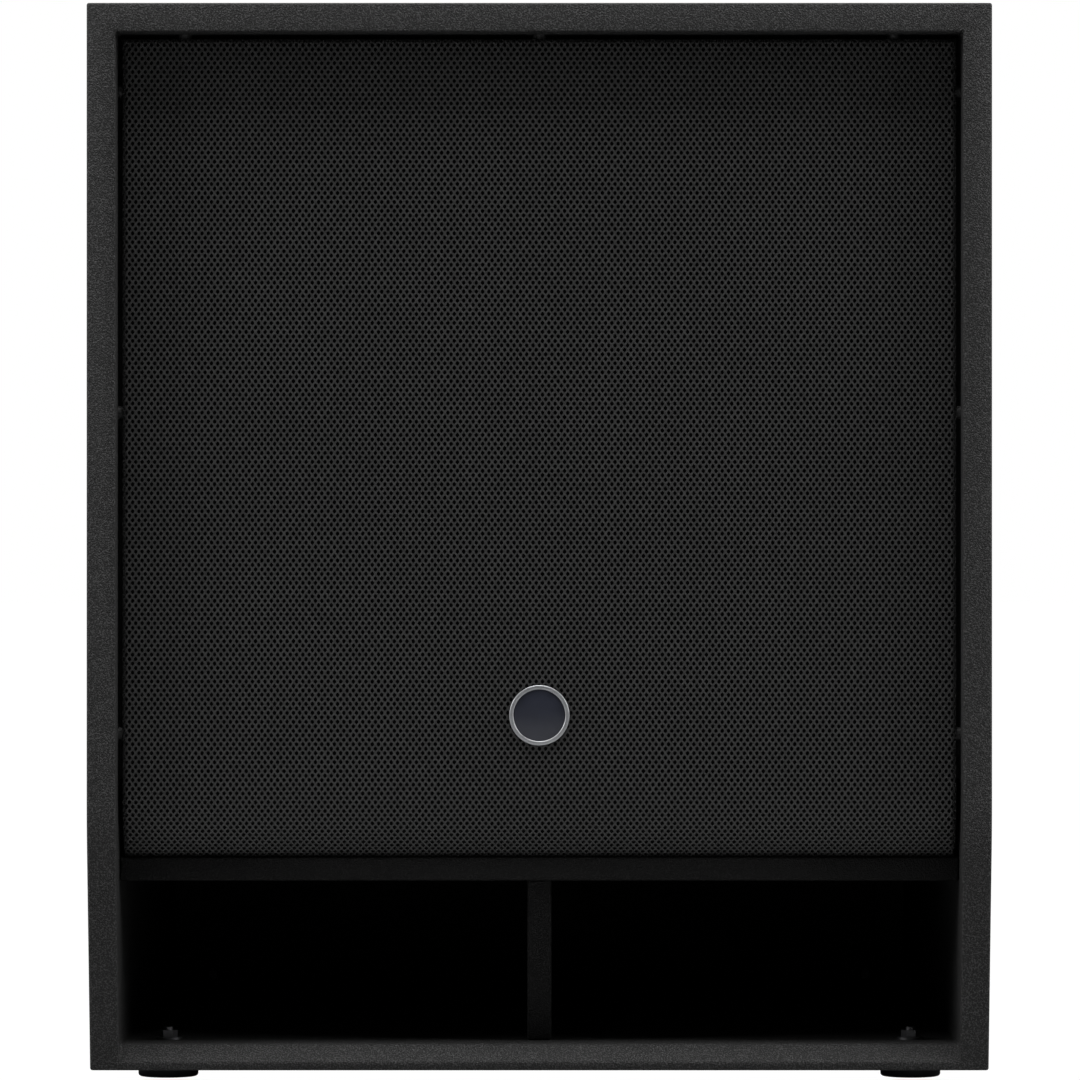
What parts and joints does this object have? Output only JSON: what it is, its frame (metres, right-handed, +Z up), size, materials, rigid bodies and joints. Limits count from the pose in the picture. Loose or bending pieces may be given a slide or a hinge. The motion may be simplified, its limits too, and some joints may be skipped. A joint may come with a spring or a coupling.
{
  "type": "subwoofer cabinet",
  "caption": "Powered slot-ported subwoofer cabinet with a recessed perforated grille, bar handles, pole socket and rear amplifier panel.",
  "frame": {"origin": "on the floor under the middle of the cabinet", "axes": "+Z up; the grille faces -Y and the amplifier +Y; +X is to the right of someone who faces the grille"},
  "size_m": [0.563, 0.721, 0.6733],
  "materials": {
    "coated_board": "textured black polyurea coat on birch ply",
    "bare_board": "bare birch ply",
    "felt": "grey felt",
    "grille_steel": "black powder coat",
    "foam": "open black foam",
    "rubber": "matt black",
    "badge_metal": "satin",
    "badge_field": "satin dark slate",
    "cast_frame": "black powder coat",
    "paper": "sealed black pulp",
    "spider_cloth": "resin-set cotton",
    "coil": "enamelled winding",
    "zinc_steel": "zinc plate",
    "ferrite": "sintered ferrite",
    "black_steel": "black zinc and powder coat",
    "sink_aluminium": "black anodised",
    "black_plastic": "fine texture",
    "circuit_board": "solder mask",
    "can_sleeve": "shrink sleeve",
    "copper_winding": "enamelled copper",
    "light_pipe": "clear tinted"
  },
  "bodies": {
    "cabinet": {"amp_board": "circuit_board", "amp_chassis": "zinc_steel", "amp_gasket": "rubber", "amp_panel": "black_steel", "back_cleats": "bare_board", "back_panel": "coated_board", "badge_disc": "badge_field", "badge_ring": "badge_metal", "baffle_cleats": "bare_board", "bottom_panel": "coated_board", "driver_baffle": "bare_board", "driver_frame": "cast_frame", "driver_gasket": "rubber", "driver_screws": "black_steel", "driver_terminals": "black_plastic", "feet": "rubber", "foot_bolts": "zinc_steel", "foot_nuts": "zinc_steel", "grille": "grille_steel", "grille_battens": "bare_board", "grille_foam": "foam", "grille_spacers": "rubber", "handle_bars": "zinc_steel", "handle_grips": "rubber", "heat_sink": "sink_aluminium", "input_sockets": "black_plastic", "lead_clip": "black_plastic", "left_handle_cup": "cast_frame", "left_side_panel": "coated_board", "level_pot": "black_plastic", "link_sockets": "black_plastic", "magnet": "ferrite", "mains_inlet": "black_plastic", "panel_screws": "black_steel", "pole_piece": "zinc_steel", "pole_socket": "cast_frame", "port_divider": "coated_board", "port_shelf": "coated_board", "power_capacitors": "can_sleeve", "power_transformer": "copper_winding", "right_handle_cup": "cast_frame", "right_side_panel": "coated_board", "rocker_frame": "black_plastic", "speaker_lead": "black_plastic", "status_lights": "light_pipe", "switch_cases": "black_plastic", "top_panel": "coated_board", "top_plate": "zinc_steel", "wadding": "felt", "window_brace": "bare_board"},
    "cone_assembly": {"cone": "paper", "dust_cap": "paper", "voice_coil": "coil", "surround": "rubber", "spider": "spider_cloth"},
    "level_knob": {"level_knob": "black_plastic", "level_shaft": "zinc_steel"},
    "filter_button": {"filter_button": "black_plastic"},
    "polarity_button": {"polarity_button": "black_plastic"},
    "power_rocker": {"power_rocker": "black_plastic"}
  },
  "joints": [
    {"name": "cone_travel", "type": "slide", "parent": "cabinet", "child": "cone_assembly", "axis": [0, -1, 0], "range_m": [-0.009, 0.009], "stiffness_N_per_m": 8000, "deforming": ["surround", "spider"]},
    {"name": "level_turn", "type": "hinge", "parent": "cabinet", "child": "level_knob", "pos_m": [0, 0.343, 0.35], "axis": [0, -1, 0], "range_deg": [-140, 140]},
    {"name": "filter_press", "type": "slide", "parent": "cabinet", "child": "filter_button", "axis": [0, -1, 0], "range_m": [0, 0.0025], "stiffness_N_per_m": 400},
    {"name": "polarity_press", "type": "slide", "parent": "cabinet", "child": "polarity_button", "axis": [0, -1, 0], "range_m": [0, 0.0025], "stiffness_N_per_m": 400},
    {"name": "power_rock", "type": "hinge", "parent": "cabinet", "child": "power_rocker", "pos_m": [0.112, 0.34, 0.35], "axis": [1, 0, 0], "range_deg": [-16, 0]}
  ]
}
